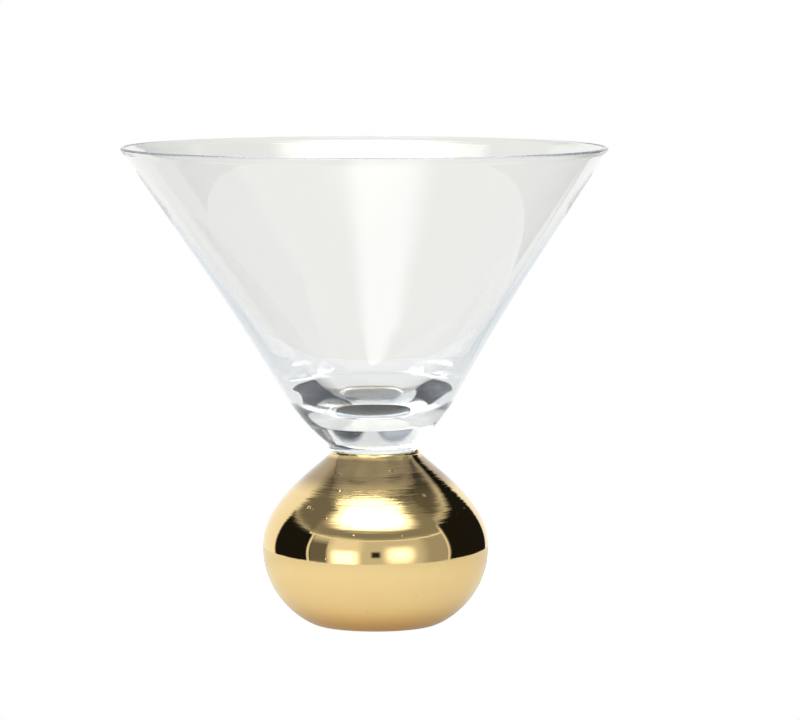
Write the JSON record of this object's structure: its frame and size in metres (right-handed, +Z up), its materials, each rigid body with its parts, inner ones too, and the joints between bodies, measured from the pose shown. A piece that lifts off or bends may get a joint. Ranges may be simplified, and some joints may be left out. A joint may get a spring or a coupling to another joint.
{
  "type": "martini glass",
  "caption": "Stemless martini glass: clear V-shaped bowl with a thick base, cemented onto a flattened glass ball plated in polished gold.",
  "frame": {"origin": "centre of the flat underside of the ball, on the surface that the glass stands on", "axes": "+Z up along the axis of the bowl and the ball, towards the rim"},
  "size_m": [0.115, 0.115, 0.1133],
  "materials": {
    "clear_glass": "clear, polished",
    "gold_metal": "polished gold plating with faint turning streaks",
    "core_glass": "clear, hidden under the plating",
    "cement": "cured adhesive"
  },
  "bodies": {
    "root": {"bowl": "clear_glass", "gold_plating": "gold_metal", "ball_core": "core_glass", "bond_disc": "cement"}
  },
  "joints": []
}
